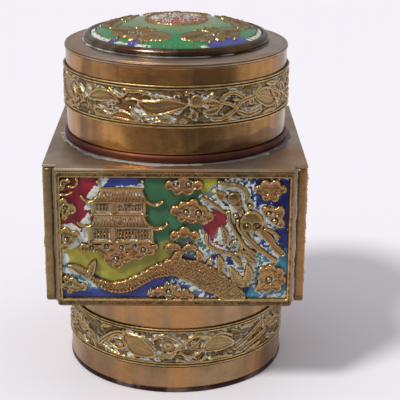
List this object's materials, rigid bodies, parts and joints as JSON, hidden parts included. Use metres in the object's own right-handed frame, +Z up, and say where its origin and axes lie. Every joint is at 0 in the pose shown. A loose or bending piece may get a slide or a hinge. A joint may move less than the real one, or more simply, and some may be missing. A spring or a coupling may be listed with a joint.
{
  "type": "cloisonne enamel box",
  "caption": "Square cast-brass box with enamelled relief panels, a round foot and a round lift-off lid with an enamelled domed medallion.",
  "frame": {"origin": "centre of the base plate's underside, where the box stands", "axes": "+Z up through the lid's medallion, -Y out of the front panel, +X to the right as seen from the front"},
  "size_m": [0.0812, 0.0812, 0.1154],
  "materials": {
    "sheet_brass": "aged satin sheet brass, golden brown",
    "dull_brass": "dull grey-brown tarnished brass",
    "cast_brass": "cast relief brass, rubbed bright on the high parts, with grey-green residue in the hollows",
    "copper": "aged copper, reddish brown, satin",
    "solder": "dull grey solder",
    "panel_enamel": "glossy fused enamel in crimson, cobalt, green, yellow-green and teal areas",
    "medallion_enamel": "glossy fused green enamel with a crimson centre"
  },
  "bodies": {
    "root": {"base_plate": "dull_brass", "foot_drum": "sheet_brass", "foot_scroll_band": "cast_brass", "body_box": "sheet_brass", "top_plate": "dull_brass", "copper_collar": "copper", "panel_front": "cast_brass", "panel_right": "cast_brass", "panel_back": "cast_brass", "panel_left": "cast_brass", "panel_enamel_front": "panel_enamel", "panel_enamel_right": "panel_enamel", "panel_enamel_back": "panel_enamel", "panel_enamel_left": "panel_enamel", "lid_drum": "sheet_brass", "lid_scroll_band": "cast_brass", "lid_top_plate": "dull_brass", "bezel": "sheet_brass", "medallion": "cast_brass", "medallion_enamel": "medallion_enamel"}
  },
  "joints": []
}
